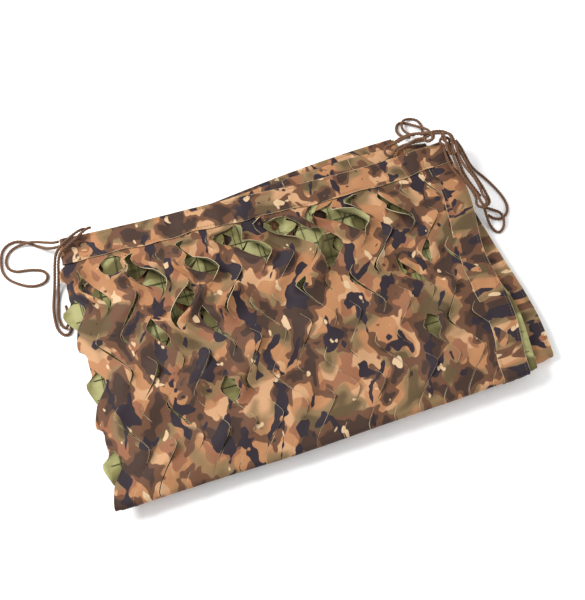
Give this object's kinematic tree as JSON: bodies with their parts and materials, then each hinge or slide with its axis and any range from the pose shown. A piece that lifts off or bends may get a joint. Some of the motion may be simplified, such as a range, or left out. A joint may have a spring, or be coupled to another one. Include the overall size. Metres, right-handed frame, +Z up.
{
  "type": "folded camouflage net",
  "caption": "Camouflage net of leaf-cut cloth with border tapes and corner tie cords, folded flat into a rectangular stack.",
  "frame": {"origin": "under the middle of the stack, its cords left out, on the surface it rests on", "axes": "+X along the long side from the closed left fold to the open edges, +Y from the front fold to the taped back edge, +Z up"},
  "size_m": [0.5933, 0.3738, 0.0352],
  "materials": {
    "printed_cloth": "matt woven cloth, printed in tan, brown, khaki and dark navy shapes on one side, pale green on the back",
    "border_tape": "the same printed cloth, uncut, sewn on as a border",
    "tie_cord": "matt brown braid"
  },
  "bodies": {
    "root": {"net_cloth": "printed_cloth", "tape_head": "border_tape", "tape_foot": "border_tape", "tape_side_upper": "border_tape", "tape_side_lower": "border_tape", "cord_left_loop": "tie_cord", "cord_left_drop_outer": "tie_cord", "cord_left_drop_inner": "tie_cord", "cord_right_bight_outer": "tie_cord", "cord_right_bight_inner": "tie_cord", "cord_right_loop": "tie_cord", "cord_right_curl": "tie_cord", "cord_right_hank": "tie_cord", "cord_right_arch": "tie_cord"}
  },
  "joints": []
}
